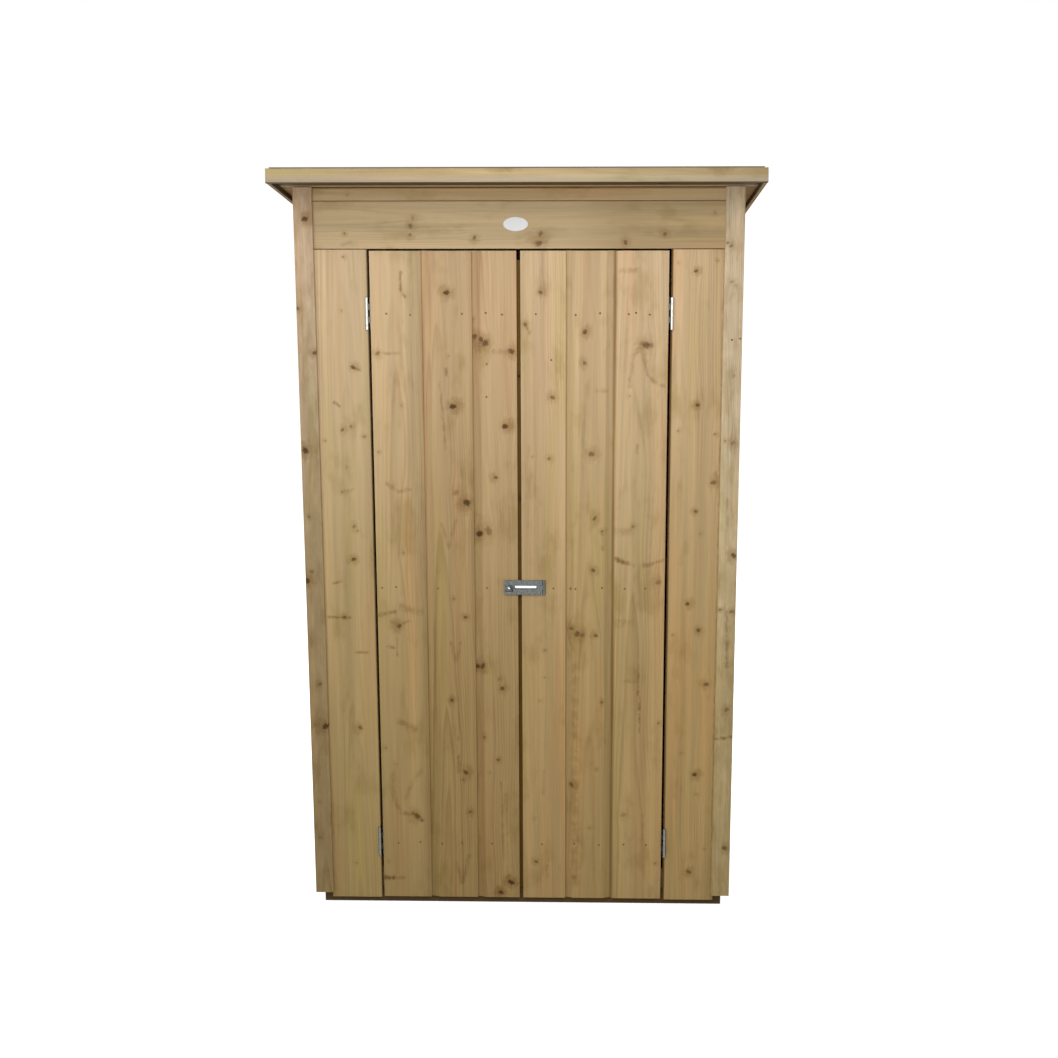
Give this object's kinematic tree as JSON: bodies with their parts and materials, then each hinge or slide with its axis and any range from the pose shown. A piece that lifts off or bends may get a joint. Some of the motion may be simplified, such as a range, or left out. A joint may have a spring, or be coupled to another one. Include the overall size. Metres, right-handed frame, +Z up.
{
  "type": "garden storage cabinet",
  "caption": "Tall timber garden tool cabinet with a sloping felt roof and hinged board doors meeting at the middle, held shut by a hasp over a turning staple.",
  "frame": {"origin": "on the ground under the middle floor bearer, at the centre of the carcass", "axes": "+X to the right seen from the front, +Y from the doors to the back, +Z up"},
  "size_m": [1.114, 0.6837, 1.8448],
  "materials": {
    "cladding_timber": "rough-planed softwood boards, dipped golden brown",
    "frame_timber": "sawn softwood, same dip",
    "roof_trim_timber": "planed softwood, same dip",
    "roofing_felt": "mineral-faced bitumen felt, dark brown",
    "zinc_plated_steel": "bright zinc-plated pressed steel",
    "white_badge": "plain white, satin"
  },
  "bodies": {
    "carcass": {"back_boards": "cladding_timber", "back_frame": "frame_timber", "badge_plate": "white_badge", "barge_board_left": "roof_trim_timber", "barge_board_right": "roof_trim_timber", "corner_post_left": "cladding_timber", "corner_post_right": "cladding_timber", "door_post_left": "frame_timber", "door_post_right": "frame_timber", "fixed_board_left": "cladding_timber", "fixed_board_right": "cladding_timber", "floor_bearer_front": "frame_timber", "floor_bearer_middle": "frame_timber", "floor_bearer_rear": "frame_timber", "floor_panel": "frame_timber", "frame_hinge_leaves": "zinc_plated_steel", "front_fascia": "roof_trim_timber", "header_board": "cladding_timber", "header_rail": "frame_timber", "header_strip": "cladding_timber", "hinge_pins": "zinc_plated_steel", "left_side_board_1": "cladding_timber", "left_side_board_2": "cladding_timber", "left_side_board_3": "cladding_timber", "left_side_board_4": "cladding_timber", "left_side_frame": "frame_timber", "rear_fascia": "roof_trim_timber", "right_side_board_1": "cladding_timber", "right_side_board_2": "cladding_timber", "right_side_board_3": "cladding_timber", "right_side_board_4": "cladding_timber", "right_side_frame": "frame_timber", "roof_boards": "frame_timber", "roof_felt": "roofing_felt", "roof_rafters": "frame_timber", "threshold_rail": "frame_timber", "top_rail": "frame_timber"},
    "left_door": {"left_door_board_1": "cladding_timber", "left_door_board_2": "cladding_timber", "left_door_board_3": "cladding_timber", "left_door_braces": "frame_timber", "left_door_hinge_leaves": "zinc_plated_steel", "left_door_ledge_bottom": "frame_timber", "left_door_ledge_middle": "frame_timber", "left_door_ledge_top": "frame_timber", "meeting_strip": "frame_timber", "staple_plate": "zinc_plated_steel"},
    "right_door": {"hasp_hinge_plate": "zinc_plated_steel", "hasp_pin": "zinc_plated_steel", "right_door_board_1": "cladding_timber", "right_door_board_2": "cladding_timber", "right_door_board_3": "cladding_timber", "right_door_braces": "frame_timber", "right_door_hinge_leaves": "zinc_plated_steel", "right_door_ledge_bottom": "frame_timber", "right_door_ledge_middle": "frame_timber", "right_door_ledge_top": "frame_timber"},
    "hasp_leaf": {"hasp_strap": "zinc_plated_steel"},
    "staple_eye": {"staple_eye": "zinc_plated_steel"}
  },
  "joints": [
    {"name": "right_door_swing", "type": "hinge", "parent": "carcass", "child": "right_door", "pos_m": [0.3565, -0.2417, 0.834], "axis": [0, 0, 1], "range_deg": [0, 120]},
    {"name": "left_door_swing", "type": "hinge", "parent": "carcass", "child": "left_door", "pos_m": [-0.3565, -0.2417, 0.834], "axis": [0, 0, -1], "range_deg": [0, 90]},
    {"name": "hasp_swing", "type": "hinge", "parent": "right_door", "child": "hasp_leaf", "pos_m": [0.057, -0.2419, 0.8355], "axis": [0, 0, 1], "range_deg": [0, 170]},
    {"name": "staple_turn", "type": "hinge", "parent": "left_door", "child": "staple_eye", "pos_m": [-0.025, -0.238, 0.833], "axis": [0, 1, 0], "range_deg": [-45, 45]}
  ],
  "couplings": [
    {"joint": "left_door_swing", "follows": "right_door_swing", "ratio": 0.75}
  ]
}
